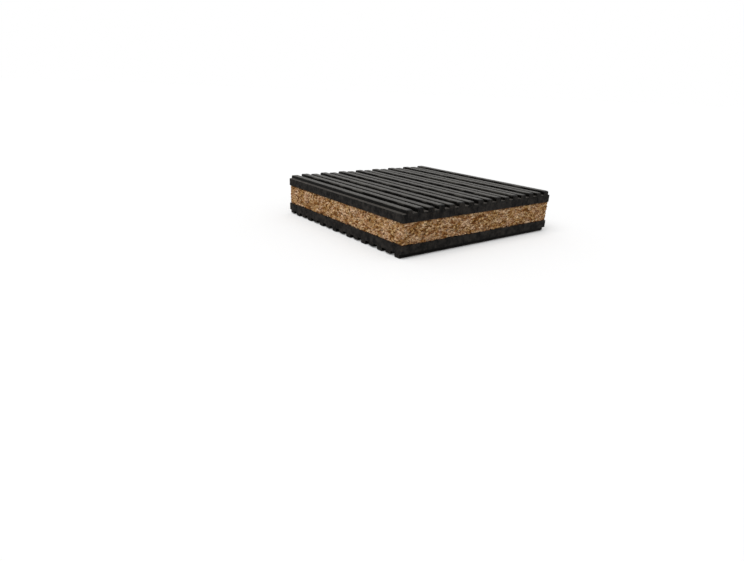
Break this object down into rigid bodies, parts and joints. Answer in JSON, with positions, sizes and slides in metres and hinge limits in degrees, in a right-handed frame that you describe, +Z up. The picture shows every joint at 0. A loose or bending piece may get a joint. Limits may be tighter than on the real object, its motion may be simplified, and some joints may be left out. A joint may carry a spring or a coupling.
{
  "type": "anti vibration machine pad",
  "caption": "Square machine pad of two cross-ribbed rubber sheets bonded to a cork core; it damps vibration between a machine's foot and the floor.",
  "frame": {"origin": "middle of the pad's footprint, on the plane of the tall lower ribs that it rests on", "axes": "+Z up through the layers; the upper ribs run along Y and the lower ribs along X"},
  "size_m": [0.1016, 0.1016, 0.0222],
  "materials": {
    "rubber": "moulded ribs with a dull sheen, matt knife-cut edges",
    "cork": "agglomerated cork, sawn edge with open granules"
  },
  "bodies": {
    "root": {"lower_rubber_sheet": "rubber", "cork_core": "cork", "upper_rubber_sheet": "rubber"}
  },
  "joints": []
}
